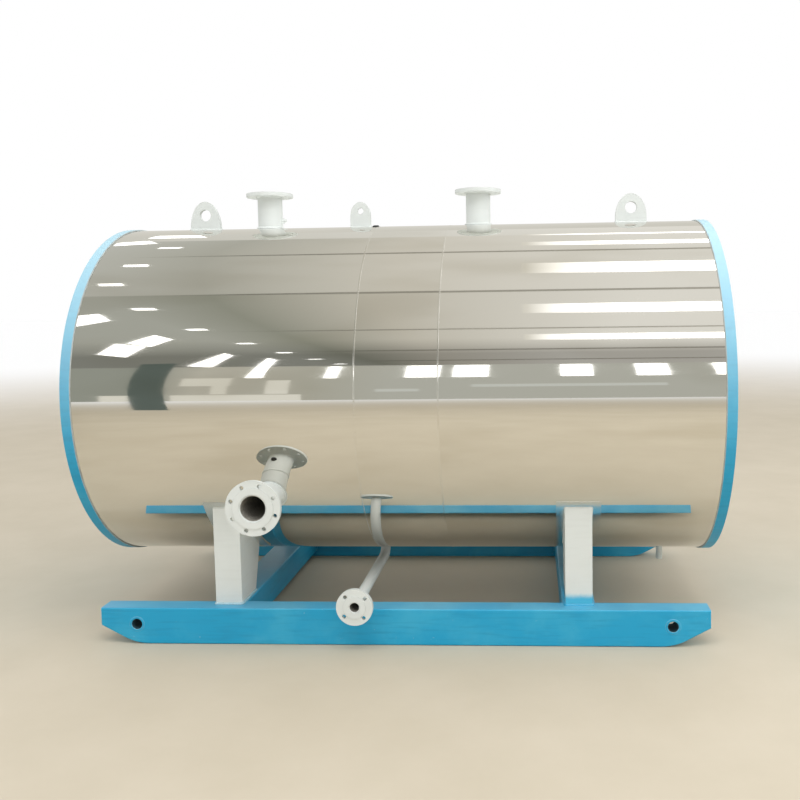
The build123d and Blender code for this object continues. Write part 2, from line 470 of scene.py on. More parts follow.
@dataclass(frozen=True)
class PolishedStainless:
    """Mirror-polished stainless sheet, rolled cold round the vessel.

    It gives a nearly clear reflection, bent by long shallow waves in the thin sheet and dulled
    along its length by wiping marks and thin water stains. A higher roughness gives the blurred
    reflection of the satin sheet at the legs and of the folded seams.
    """

    name: str
    seed: float
    colour: str = "#E1DFD9"
    stain: str = "#CBC7BC"
    roughness: float = 0.022
    wave_mm: float = 520.0
    wave_height_mm: float = 0.5
    smear_mm: float = 34.0
    stain_mm: float = 210.0
    stretch: float = 0.22

    def material(self) -> bpy.types.Material:
        """Build the node material.

        Returns:
            The finished material.
        """
        material, tree = blank_material(self.name)
        place = add_node(tree, "ShaderNodeTexCoord").outputs["Object"]
        long_way = add_node(
            tree, "ShaderNodeMapping", {"Vector": place, "Scale": (self.stretch, 1.0, 1.0)}
        ).outputs[0]
        smear = add_node(
            tree,
            "ShaderNodeTexNoise",
            {"Vector": long_way, "W": self.seed, "Scale": per_metre(self.smear_mm), "Detail": 5.0},
            noise_dimensions="4D",
        ).outputs[0]
        stain = add_node(
            tree,
            "ShaderNodeTexNoise",
            {"Vector": long_way, "W": self.seed + 7.0, "Scale": per_metre(self.stain_mm)},
            noise_dimensions="4D",
        ).outputs[0]
        dull = add_node(
            tree,
            "ShaderNodeMapRange",
            {"Value": stain, "From Min": 0.48, "From Max": 0.72, "To Min": 0.0, "To Max": 0.55},
            interpolation_type="SMOOTHSTEP",
        ).outputs[0]
        colour = add_node(
            tree,
            "ShaderNodeMix",
            {0: dull, 6: linear(self.colour), 7: linear(self.stain)},
            data_type="RGBA",
        ).outputs[2]
        rough = add_node(
            tree,
            "ShaderNodeMapRange",
            {
                "Value": smear,
                "From Min": 0.3,
                "From Max": 0.75,
                "To Min": self.roughness,
                "To Max": self.roughness * 2.4,
            },
        ).outputs[0]
        wave = add_node(
            tree,
            "ShaderNodeTexNoise",
            {
                "Vector": long_way,
                "W": self.seed + 3.0,
                "Scale": per_metre(self.wave_mm),
                "Detail": 1.0,
                "Roughness": 0.35,
            },
            noise_dimensions="4D",
        ).outputs[0]
        bump = add_node(
            tree,
            "ShaderNodeBump",
            {"Strength": 1.0, "Distance": self.wave_height_mm * MM, "Height": wave},
        ).outputs[0]
        shader = add_node(
            tree,
            "ShaderNodeBsdfPrincipled",
            {"Base Color": colour, "Metallic": 1.0, "Roughness": rough, "Normal": bump},
        )
        close_material(tree, shader)
        return material


@dataclass(frozen=True)
class Enamel:
    """Alkyd enamel sprayed and brushed over primed steel.

    It gives an even colour with broad pale and dark patches, long brush marks, small chips down
    to the primer, rubbed edges that also stand as a painted highlight, and some dust on the faces
    that look up.
    """

    name: str
    coat: str
    pale: str
    deep: str
    primer: str
    dust: str
    roughness: float = 0.34
    patch_mm: float = 240.0
    brush_mm: float = 16.0
    chip_mm: float = 26.0
    peel_mm: float = 5.0
    chips: float = 0.69
    wear: float = 0.6
    dusty: float = 0.3
    mottle: float = 0.5
    stroke: float = 0.09

    def material(
        self,
        label: str = "",
        overspray_and_highlight: OversprayAndHighlight | None = None,
        bore: Bore | None = None,
    ) -> bpy.types.Material:
        """Build the node material.

        Args:
            label: Added to the finish's name for a piece with something of its own.
            overspray_and_highlight: A second colour over part of the piece, for real overspray and
                for painted highlights.
            bore: The bare inside of a pipe.

        Returns:
            The finished material.
        """
        material, tree = blank_material(self.name + label)
        place = add_node(tree, "ShaderNodeTexCoord").outputs["Object"]
        surface = add_node(tree, "ShaderNodeNewGeometry")
        patch = add_node(
            tree,
            "ShaderNodeTexNoise",
            {"Vector": place, "Scale": per_metre(self.patch_mm), "Detail": 4.0, "Roughness": 0.6},
        ).outputs[0]
        stroke = add_node(
            tree,
            "ShaderNodeMapping",
            {"Vector": place, "Scale": (self.stroke, self.stroke, 1.0)},
        ).outputs[0]
        brush = add_node(
            tree,
            "ShaderNodeTexNoise",
            {"Vector": stroke, "Scale": per_metre(self.brush_mm), "Detail": 3.0},
        ).outputs[0]
        speck = add_node(
            tree,
            "ShaderNodeTexNoise",
            {"Vector": place, "Scale": per_metre(self.chip_mm), "Detail": 6.0, "Roughness": 0.65},
        ).outputs[0]
        lighter = add_node(
            tree,
            "ShaderNodeMapRange",
            {"Value": patch, "From Min": 0.42, "From Max": 0.7, "To Max": self.mottle},
            interpolation_type="SMOOTHSTEP",
        ).outputs[0]
        colour = add_node(
            tree,
            "ShaderNodeMix",
            {0: lighter, 6: linear(self.coat), 7: linear(self.pale)},
            data_type="RGBA",
        ).outputs[2]
        darker = add_node(
            tree,
            "ShaderNodeMapRange",
            {"Value": brush, "From Min": 0.5, "From Max": 0.75, "To Max": self.mottle},
        ).outputs[0]
        colour = add_node(
            tree,
            "ShaderNodeMix",
            {0: darker, 6: colour, 7: linear(self.deep)},
            data_type="RGBA",
        ).outputs[2]
        # A second colour by height: real overspray on a leg foot, a painted highlight on the end
        # bands.
        if overspray_and_highlight is not None:
            height = add_node(tree, "ShaderNodeSeparateXYZ", {"Vector": place}).outputs["Z"]
            ragged = add_node(
                tree,
                "ShaderNodeMath",
                {0: speck, 1: overspray_and_highlight.ragged, 2: height},
                operation="MULTIPLY_ADD",
            ).outputs[0]
            cover = add_node(
                tree,
                "ShaderNodeMapRange",
                {
                    "Value": ragged,
                    "From Min": overspray_and_highlight.full_z + overspray_and_highlight.ragged / 2,
                    "From Max": overspray_and_highlight.none_z + overspray_and_highlight.ragged / 2,
                    "To Min": overspray_and_highlight.share,
                    "To Max": 0.0,
                },
                interpolation_type="SMOOTHSTEP",
            ).outputs[0]
            colour = add_node(
                tree,
                "ShaderNodeMix",
                {0: cover, 6: colour, 7: linear(overspray_and_highlight.colour)},
                data_type="RGBA",
            ).outputs[2]
        # Rubbed edges to the pale primer: real wear that also stands as a painted highlight along
        # the edges.
        round_edge = add_node(
            tree, "ShaderNodeBevel", {"Radius": 4.0 * MM}, samples=6
        ).outputs[0]
        flatness = add_node(
            tree,
            "ShaderNodeVectorMath",
            {0: round_edge, 1: surface.outputs["Normal"]},
            operation="DOT_PRODUCT",
        ).outputs["Value"]
        edge = add_node(
            tree,
            "ShaderNodeMapRange",
            {"Value": flatness, "From Min": 0.99, "From Max": 0.86, "To Max": 0.34},
        ).outputs[0]
        worn = add_node(
            tree, "ShaderNodeMath", {0: speck, 1: edge}, operation="ADD"
        ).outputs[0]
        wear_and_edge_highlight = add_node(
            tree,
            "ShaderNodeMapRange",
            {
                "Value": worn,
                "From Min": self.chips,
                "From Max": self.chips + 0.05,
                "To Max": self.wear,
            },
        ).outputs[0]
        colour = add_node(
            tree,
            "ShaderNodeMix",
            {0: wear_and_edge_highlight, 6: colour, 7: linear(self.primer)},
            data_type="RGBA",
        ).outputs[2]
        facing = add_node(
            tree, "ShaderNodeSeparateXYZ", {"Vector": surface.outputs["Normal"]}
        ).outputs["Z"]
        settled = add_node(
            tree,
            "ShaderNodeMapRange",
            {"Value": facing, "From Min": 0.55, "From Max": 0.98, "To Max": self.dusty},
        ).outputs[0]
        uneven = add_node(
            tree, "ShaderNodeMath", {0: settled, 1: patch}, operation="MULTIPLY"
        ).outputs[0]
        colour = add_node(
            tree,
            "ShaderNodeMix",
            {0: uneven, 6: colour, 7: linear(self.dust)},
            data_type="RGBA",
        ).outputs[2]
        rough = add_node(
            tree,
            "ShaderNodeMapRange",
            {
                "Value": patch,
                "From Min": 0.3,
                "From Max": 0.7,
                "To Min": self.roughness,
                "To Max": self.roughness + 0.16,
            },
        ).outputs[0]
        peel = add_node(
            tree,
            "ShaderNodeTexNoise",
            {"Vector": place, "Scale": per_metre(self.peel_mm), "Detail": 2.0},
        ).outputs[0]
        relief = add_node(
            tree,
            "ShaderNodeMath",
            {0: brush, 1: 0.5, 2: peel},
            operation="MULTIPLY_ADD",
        ).outputs[0]
        bump = add_node(
            tree,
            "ShaderNodeBump",
            {"Strength": 0.35, "Distance": 0.25 * MM, "Height": relief},
        ).outputs[0]
        if bore is not None:
            colour, rough, bump = self._bore_tones(tree, place, bore, colour, rough, bump)
        shader = add_node(
            tree,
            "ShaderNodeBsdfPrincipled",
            {"Base Color": colour, "Roughness": rough, "IOR": 1.5, "Normal": bump},
        )
        close_material(tree, shader)
        return material

    def _bore_tones(
        self,
        tree: bpy.types.NodeTree,
        place: bpy.types.NodeSocket,
        bore: Bore,
        colour: bpy.types.NodeSocket,
        rough: bpy.types.NodeSocket,
        bump: bpy.types.NodeSocket,
    ) -> tuple[bpy.types.NodeSocket, bpy.types.NodeSocket, bpy.types.NodeSocket]:
        """Show the bore's two tones where the distance from the pipe's axis is within the bore:
        mill scale and rust in a pipe, painted shade in a pull sleeve.

        Args:
            tree: The material's tree.
            place: The Object coordinates.
            bore: The pipe's inside.
            colour: The paint's colour.
            rough: The paint's roughness.
            bump: The paint's relief.

        Returns:
            Colour, roughness and relief with the bare inside added.
        """
        across = tuple(1.0 - abs(part) for part in bore.heading.value)
        away = add_node(
            tree, "ShaderNodeVectorMath", {0: place, 1: bore.centre}, operation="SUBTRACT"
        ).outputs[0]
        flat = add_node(
            tree, "ShaderNodeVectorMath", {0: away, 1: across}, operation="MULTIPLY"
        ).outputs[0]
        distance = add_node(
            tree, "ShaderNodeVectorMath", {0: flat}, operation="LENGTH"
        ).outputs["Value"]
        inside = add_node(
            tree,
            "ShaderNodeMath",
            {0: distance, 1: bore.radius + 0.6 * MM},
            operation="LESS_THAN",
        ).outputs[0]
        # Noise between the bore's two tones, which are painted shade in a pull sleeve.
        grime = add_node(
            tree,
            "ShaderNodeTexNoise",
            {
                "Vector": place,
                "Scale": per_metre(bore.grime_mm),
                "Detail": 6.0,
                "Roughness": 0.7,
            },
        ).outputs[0]
        scale = add_node(
            tree,
            "ShaderNodeMix",
            {0: grime, 6: linear(bore.deep), 7: linear(bore.pale)},
            data_type="RGBA",
        ).outputs[2]
        colour = add_node(
            tree, "ShaderNodeMix", {0: inside, 6: colour, 7: scale}, data_type="RGBA"
        ).outputs[2]
        rough = add_node(
            tree,
            "ShaderNodeMapRange",
            {"Value": inside, "To Min": rough, "To Max": 0.82},
        ).outputs[0]
        crust = add_node(
            tree, "ShaderNodeMath", {0: inside, 1: grime}, operation="MULTIPLY"
        ).outputs[0]
        bump = add_node(
            tree,
            "ShaderNodeBump",
            {"Strength": 0.8, "Distance": 1.2 * MM, "Height": crust, "Normal": bump},
        ).outputs[0]
        return colour, rough, bump


@dataclass(frozen=True)
class Sealant:
    """Neutral-cure silicone smoothed by hand, or moulded rubber: a soft, slightly dusty sheen."""

    name: str
    colour: str
    grime: str
    roughness: float = 0.5
    grime_mm: float = 40.0

    def material(self) -> bpy.types.Material:
        """Build the node material.

        Returns:
            The finished material.
        """
        material, tree = blank_material(self.name)
        place = add_node(tree, "ShaderNodeTexCoord").outputs["Object"]
        spots = add_node(
            tree,
            "ShaderNodeTexNoise",
            {"Vector": place, "Scale": per_metre(self.grime_mm), "Detail": 5.0},
        ).outputs[0]
        amount = add_node(
            tree,
            "ShaderNodeMapRange",
            {"Value": spots, "From Min": 0.45, "From Max": 0.75, "To Max": 0.7},
        ).outputs[0]
        colour = add_node(
            tree,
            "ShaderNodeMix",
            {0: amount, 6: linear(self.colour), 7: linear(self.grime)},
            data_type="RGBA",
        ).outputs[2]
        shader = add_node(
            tree,
            "ShaderNodeBsdfPrincipled",
            {"Base Color": colour, "Roughness": self.roughness, "IOR": 1.41},
        )
        close_material(tree, shader)
        return material


@dataclass(frozen=True)
class MineralWool:
    """Pressed mineral wool under the cladding: matt, fibrous and grey-brown."""

    name: str = "mineral_wool"
    pale: str = "#8C8474"
    deep: str = "#4C463C"
    fibre_mm: float = 9.0

    def material(self) -> bpy.types.Material:
        """Build the node material.

        Returns:
            The finished material.
        """
        material, tree = blank_material(self.name)
        place = add_node(tree, "ShaderNodeTexCoord").outputs["Object"]
        strands = add_node(
            tree, "ShaderNodeMapping", {"Vector": place, "Scale": (0.3, 1.0, 1.6)}
        ).outputs[0]
        fibre = add_node(
            tree,
            "ShaderNodeTexNoise",
            {"Vector": strands, "Scale": per_metre(self.fibre_mm), "Detail": 8.0},
        ).outputs[0]
        colour = add_node(
            tree,
            "ShaderNodeMix",
            {0: fibre, 6: linear(self.deep), 7: linear(self.pale)},
            data_type="RGBA",
        ).outputs[2]
        bump = add_node(
            tree, "ShaderNodeBump", {"Distance": 3.0 * MM, "Height": fibre}
        ).outputs[0]
        shader = add_node(
            tree,
            "ShaderNodeBsdfPrincipled",
            {"Base Color": colour, "Roughness": 0.95, "Normal": bump},
        )
        close_material(tree, shader)
        return material


BLUE_ENAMEL = Enamel(
    name="sky_blue_enamel",
    coat="#0A9CC8",
    pale="#41B2D2",
    deep="#0889B2",
    primer="#A8C3CA",
    dust="#BFD6DC",
)
WHITE_ENAMEL = Enamel(
    name="off_white_enamel",
    coat="#D6DBD8",
    pale="#DDE2E0",
    deep="#CDD2CE",
    primer="#A4A7A3",
    dust="#D3D1C8",
    roughness=0.4,
    chips=0.76,
    wear=0.4,
    mottle=0.3,
)
WORN_ENAMEL = Enamel(
    name="worn_pale_enamel",
    coat="#9CC4D0",
    pale="#C9DADD",
    deep="#6FAEC6",
    primer="#8D8478",
    dust="#C9D4D6",
    roughness=0.5,
    patch_mm=60.0,
    chips=0.6,
)
SEAL = Sealant("grey_silicone", "#A9AFAD", "#8A8C86")
RUBBER = Sealant("black_rubber", "#2A2A2B", "#4A4945", roughness=0.6)


@dataclass
class Palette:
    """The finishes that several sub-assemblies share."""

    blue: bpy.types.Material = field(default_factory=BLUE_ENAMEL.material)
    white: bpy.types.Material = field(default_factory=WHITE_ENAMEL.material)
    worn: bpy.types.Material = field(default_factory=WORN_ENAMEL.material)
    seal: bpy.types.Material = field(default_factory=SEAL.material)
    rubber: bpy.types.Material = field(default_factory=RUBBER.material)


def dress(nodes: dict[str, bpy.types.Object], name: str, finish: bpy.types.Material) -> None:
    """Give a CAD node its finish.

    Args:
        nodes: The frame's nodes by name.
        name: The node.
        finish: Its material.
    """
    mesh = nodes[name].data
    mesh.materials.clear()
    mesh.materials.append(finish)
    LOG.info("%s: %s", name, finish.name)


def span(node: str) -> tuple[Array, Array, Array]:
    """Measure a CAD node.

    Args:
        node: The node's name.

    Returns:
        Its lowest corner, highest corner and middle, in metres.
    """
    low, high = (np.array(corner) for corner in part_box(node))
    return low, high, (low + high) / 2


@dataclass
class Shell:
    """The clad cylinder that everything is fixed to, measured on its middle sheet."""

    radius: float
    axis_z: float
    seams: tuple[float, float]

    @classmethod
    def measured(cls) -> Shell:
        """Take the shell's sizes from the CAD."""
        low, high, middle = span("jacket_middle")
        return cls((high[2] - low[2]) / 2, middle[2], (low[0], high[0]))

    def _offset(self, points: Array) -> Array:
        """How far points lie from the shell's axis, measured across it.

        Args:
            points: Any points.

        Returns:
            Their offsets, with nothing along the axis.
        """
        offset = points - self.axis_z * UP
        offset[:, 0] = 0.0
        return offset

    def seat(self, points: Array, heading: Heading, over: float | Array = 0.0) -> Array:
        """Slide points along a heading until they lie on the shell.

        With q the point's offset from the axis and o the heading, both across the axis, the way
        to go is -q.o + sqrt((q.o)^2 - q.q + r^2).

        Args:
            points: Points near the shell.
            heading: The direction to slide in.
            over: How far above the cladding they end, for all or for each.

        Returns:
            The points on the shell.
        """
        out = np.array(heading.value)
        offset = self._offset(points)
        along = offset @ out
        square = along**2 - (offset**2).sum(axis=1) + (self.radius + over) ** 2
        return points + (np.sqrt(square) - along)[:, None] * out

    def flattened(self, directions: Array, points: Array) -> Array:
        """Lay a direction flat on the shell at each point.

        With n the shell's outward direction there, that is d - (d.n) n, at unit length.

        Args:
            directions: One direction for each point.
            points: Points on the shell.

        Returns:
            The directions along the shell.
        """
        offset = self._offset(points)
        normal = offset / np.linalg.norm(offset, axis=1, keepdims=True)
        flat = directions - (directions * normal).sum(axis=1, keepdims=True) * normal
        return flat / np.linalg.norm(flat, axis=1, keepdims=True)


@dataclass
class Cladding:
    """The polished jacket: two wide sheets and a closing strip, lapped over their seams."""

    shell: Shell
    palette: Palette
    lap_width: float = 0.007
    lap_lift: float = 0.0005
    lap_sink: float = 0.0004
    lap_round: float = 0.0008
    lap_points: int = 288
    clip_inset: float = 0.016
    clip_y: float = -0.095
    clip_half: float = 0.016
    clip_corner: float = 0.004

    def build(self) -> None:
        """Make the lapped seam edges and the clip that holds one of them."""
        finish = PolishedStainless("polished_lap", 4.0, roughness=0.09).material()
        for name, x in zip(("seam_lap_left", "seam_lap_right"), self.shell.seams):
            make_piece(name, [self._lap(x)], finish, sharp_deg=80.0)
        make_piece("seam_clip", self._clip(), self.palette.rubber)

    def _lap(self, x: float) -> Grid:
        """Turn a thin strip with rounded edges round the shell's axis at a seam.

        Args:
            x: The seam's place along the shell.

        Returns:
            The strip as a closed surface.
        """
        low = self.shell.radius - self.lap_sink
        high = self.shell.radius + self.lap_lift
        half = self.lap_width / 2
        edge = np.linspace(0.0, math.pi / 2, 5)
        rise = low + (high - low) * np.sin(edge)
        drawn_in = self.lap_round * (1 - np.cos(edge))
        right = np.stack([half - drawn_in, rise], axis=1)
        left = np.stack([-half + drawn_in, rise], axis=1)[::-1]
        profile = np.concatenate([right, left, right[:1]])
        centre = np.array([x, 0.0, self.shell.axis_z])
        return turned(profile, centre, RIGHT, BACK, UP, self.lap_points)

    def _clip(self) -> list[Grid]:
        """A small rounded block on the crown: stacked rounded rectangles that draw in upwards.

        Returns:
            The block's surface.
        """
        levels = np.array([-0.002, 0.0, 0.003, 0.0045, 0.0055, 0.0055])
        shrink = np.array([0.0, 0.0, 0.0005, 0.0015, 0.005, 0.0159])
        middle = (self.shell.seams[0] - self.clip_inset, self.clip_y)
        half = (self.clip_half, self.clip_half)
        loop, outward = box_loop(middle, half, self.clip_corner, FINE_STEP)
        base = self.shell.seat(loop, Heading.UP)
        lifted = base[None] + levels[:, None, None] * UP
        return [Grid(lifted - shrink[:, None, None] * outward[None])]

    def dress(self, nodes: dict[str, bpy.types.Object]) -> None:
        """Polish the sheets, each with its own waves, and fill the vessel with wool.

        Args:
            nodes: The frame's nodes by name.
        """
        for number, name in enumerate(("jacket_left", "jacket_middle", "jacket_right")):
            finish = PolishedStainless(f"polished_stainless_{number + 1}", 11.0 * number)
            dress(nodes, name, finish.material())
        dress(nodes, "vessel_core", MineralWool().material())


@dataclass
class EndRims:
    """The painted bands round both ends, sealed to the jacket."""

    shell: Shell
    palette: Palette
    seal_leg: float = 0.004
    seal_over: float = 0.0002
    seal_pitch: float = 0.11
    seal_points: int = 360

    def build(self) -> None:
        """Run a bead of sealant round the inner edge of each band."""
        radius = self.shell.radius + self.seal_over
        inner_edge = span("end_rim_right")[0][0]
        for name, side in (("rim_seal_left", -1.0), ("rim_seal_right", 1.0)):
            centre = np.array([side * inner_edge, 0.0, self.shell.axis_z])
            corner, outward = circle(centre, BACK, UP, radius, self.seal_points)
            inward = same((-side, 0.0, 0.0), corner)
            bead = fillet_weld(corner, inward, outward, self.seal_leg, True, self.seal_pitch)
            make_piece(name, [bead], self.palette.seal)

    def dress(self, nodes: dict[str, bpy.types.Object]) -> None:
        """Paint the end plates, and the bands in the same blue with a painted highlight that pales
        them towards the top.

        Args:
            nodes: The frame's nodes by name.
        """
        # A paler blue rising towards the top of each band: a painted highlight for the light that
        # falls on their upper side.
        top_highlight = OversprayAndHighlight("#BDDAE2", full_z=1.95, none_z=0.75, share=0.7)
        painted_highlight = BLUE_ENAMEL.material("_chalked", overspray_and_highlight=top_highlight)
        for side in ("left", "right"):
            dress(nodes, f"end_rim_{side}", painted_highlight)
            dress(nodes, f"end_plate_{side}", self.palette.blue)


@dataclass
class FlangedPipe:
    """A pipe with a slip-on flange: its welds on both sides of the flange and at the collar."""

    name: str
    shell: Shell
    palette: Palette
    heading: Heading
    face: Array
    pipe_radius: float
    bore_radius: float
    flange_back: float
    set_back: float
    collar_lift: float = 0.0043
    weld_leg: float = 0.006
    on_shell: bool = True
    inner_leg: float = 0.0045
    ring_points: int = 220
    saddle_points: int = 240

    @classmethod
    def measured(
        cls,
        name: str,
        shell: Shell,
        palette: Palette,
        heading: Heading,
        mounts: dict,
        **more: object,
    ) -> FlangedPipe:
        """Take the pipe's sizes from its CAD nodes and its stated bore.

        Args:
            name: The pipe's name in the CAD.
            shell: The shell.
            palette: The shared finishes.
            heading: The way it leaves the shell.
            mounts: The record's mounts by name.
            more: Other fields.

        Returns:
            The pipe, ready to build.
        """
        out = np.array(heading.value)
        low, high, middle = span(f"{name}_flange")
        half_depth = abs((high - low) @ out) / 2
        face = middle + half_depth * out
        tube_low, tube_high, _ = span(f"{name}_tube")
        end = max(tube_low @ out, tube_high @ out)
        return cls(
            name,
            shell,
            palette,
            heading,
            face,
            (tube_high[0] - tube_low[0]) / 2,
            mounts[f"{name}_bore"]["dims"]["r_mm"] * MM,
            2 * half_depth,
            face @ out - end,
            **more,
        )

    def _frame(self) -> tuple[Array, Array, Array, Array]:
        """The middle of the joint face, the way out, and two directions across the pipe."""
        out = np.array(self.heading.value)
        return self.face, out, RIGHT, np.cross(out, RIGHT)

    def build(self) -> None:
        """Weld the flange on at the back and round the pipe's end, and the pipe to its collar."""
        face, out, u, v = self._frame()
        radius, points = self.pipe_radius, self.ring_points
        back, outward = circle(face - self.flange_back * out, u, v, radius, points)
        behind = fillet_weld(back, same(-out, back), outward, self.weld_leg, True)
        rim, outward = circle(face - self.set_back * out, u, v, radius, points)
        inner = fillet_weld(rim, same(out, rim), -outward, self.inner_leg, True)
        grids = [behind, inner]
        if self.on_shell:
            grids.append(self.saddle_weld())
        make_piece(f"{self.name}_welds", grids, self.palette.white)

    def saddle_weld(self) -> Grid:
        """Follow the pipe's foot over the curved collar: a circle slid on to the shell.

        Returns:
            The weld as a closed surface.
        """
        face, out, u, v = self._frame()
        ring, outward = circle(face, u, v, self.pipe_radius, self.saddle_points)
        middle = ring - (ring - self.shell.axis_z * UP) @ out[:, None] * out
        corner = self.shell.seat(middle, self.heading, self.collar_lift)
        down = self.shell.flattened(outward, corner)
        return fillet_weld(corner, same(out, corner), down, self.weld_leg, True)

    def dress(self, nodes: dict[str, bpy.types.Object]) -> None:
        """Paint flange and collar, and leave the inside of the pipe as rolled.

        Args:
            nodes: The frame's nodes by name.
        """
        bore = Bore(tuple(self.face), self.heading, self.bore_radius)
        dress(nodes, f"{self.name}_tube", WHITE_ENAMEL.material(f"_{self.name}", bore=bore))
        dress(nodes, f"{self.name}_flange", self.palette.white)
        dress(nodes, f"{self.name}_collar", self.palette.white)


@dataclass
class DrainBend:
    """The butt weld where the elbow of the drain line begins."""

    palette: Palette
    bend: float = 0.060
    bead_half: float = 0.005
    bead_height: float = 0.0016
    points: int = 140

    def build(self) -> None:
        """Ring the pipe where the elbow begins."""
        low, high, middle = span("drain_tube")
        radius = (high[0] - low[0]) / 2
        centre = np.array([middle[0], -self.bend, low[2] + radius])
        ring, outward = circle(centre, RIGHT, UP, radius, self.points)
        bead = cap_bead(ring, same(BACK, ring), outward, self.bead_half, self.bead_height, True)
        make_piece("drain_elbow_welds", [bead], self.palette.white)


@dataclass
class Stub:
    """The short open stub under the right end, welded to its pad."""

    shell: Shell
    palette: Palette
    bore_radius: float = 0.013

    def build(self) -> None:
        """Weld the stub to its pad."""
        low, high, middle = span("stub_tube")
        end = np.array([middle[0], middle[1], low[2]])
        radius = (high[0] - low[0]) / 2
        pipe = FlangedPipe(
            "stub",
            self.shell,
            self.palette,
            Heading.DOWN,
            end,
            radius,
            self.bore_radius,
            flange_back=0.0,
            set_back=0.0,
        )
        make_piece("stub_weld", [pipe.saddle_weld()], self.palette.white)

    def dress(self, nodes: dict[str, bpy.types.Object]) -> None:
        """Paint the stub and its pad.

        Args:
            nodes: The frame's nodes by name.
        """
        bore = Bore(tuple(span("stub_tube")[2]), Heading.DOWN, self.bore_radius)
        dress(nodes, "stub_tube", WHITE_ENAMEL.material("_stub", bore=bore))
        dress(nodes, "stub_pad", self.palette.white)


def plug_on(
    edge: Array,
    axis: Array,
    across: Array,
    radius: float,
    reach: float,
    count: int = 40,
) -> Grid:
    """Turn a socket with its plug, a stepped outline round an axis, from a pipe's surface.

    Args:
        edge: The point on the pipe.
        axis: The way out of the pipe.
        across: A direction across that axis.
        radius: The socket's radius.
        reach: How far the plug reaches.
        count: How many steps round.

    Returns:
        The socket and plug as one closed surface.
    """
    steps = np.array([-0.14, -0.14, 0.46, 0.53, 0.53, 0.93, 1.0, 1.0]) * reach
    radii = np.array([0.0, 1.0, 1.0, 0.9, 0.7, 0.7, 0.63, 0.0]) * radius
    outline = np.stack([steps, radii], axis=1)
    return turned(outline, edge, axis, across, np.cross(axis, across), count)


@dataclass
class PipeFittings:
    """The plugged sockets on the left nozzle and the front pipe, and the pipe's girth weld.

    A socket's size is its radius and the reach of its plug.
    """

    palette: Palette
    front: FlangedPipe
    nozzle_height: float = 2.004
    nozzle_socket: tuple[float, float] = (0.0135, 0.0215)
    front_socket: tuple[float, float] = (0.013, 0.014)
    socket_back: float = 0.084
    socket_turn_deg: float = -10.0
    socket_sharp_deg: float = 35.0
    girth_back: float = 0.164
    girth_half: float = 0.006
    girth_height: float = 0.003

    def build(self) -> None:
        """Turn both sockets and ring the front pipe with a butt weld."""
        white, sharp = self.palette.white, self.socket_sharp_deg
        edge = np.array([span("nozzle_left_tube")[1][0], 0.0, self.nozzle_height])
        plug = plug_on(edge, RIGHT, UP, *self.nozzle_socket)
        make_piece("nozzle_left_socket", [plug], white, sharp_deg=sharp)
        turn = math.radians(self.socket_turn_deg)
        out = math.sin(turn) * RIGHT + math.cos(turn) * UP
        face, radius = self.front.face, self.front.pipe_radius
        edge = face + radius * out + self.socket_back * BACK
        plug = plug_on(edge, out, -BACK, *self.front_socket)
        make_piece("front_pipe_socket", [plug], self.palette.rubber, sharp_deg=sharp)
        centre = face + self.girth_back * BACK
        ring, outward = circle(centre, RIGHT, UP, radius, self.front.ring_points)
        bead = cap_bead(ring, same(BACK, ring), outward, self.girth_half, self.girth_height, True)
        make_piece("front_pipe_girth_weld", [bead], white)


@dataclass
class LiftingLug:
    """A lifting lug, welded all round to the crown."""

    name: str
    shell: Shell
    palette: Palette
    leg: float = 0.006
    corner: float = 0.001

    def build(self) -> None:
        """Run a fillet weld round the lug's foot, on the shell."""
        low, high, middle = span(self.name)
        half = (high - low) / 2
        foot = (middle[0], 0.0), (half[0], half[1])
        loop, outward = box_loop(*foot, self.corner, FINE_STEP)
        seam = self.shell.seat(loop, Heading.UP)
        weld = fillet_weld(seam, same(UP, seam), outward, self.leg, True)
        make_piece(f"{self.name}_weld", [weld], self.palette.white)

    def dress(self, nodes: dict[str, bpy.types.Object]) -> None:
        """Paint the lug."""
        dress(nodes, self.name, self.palette.white)


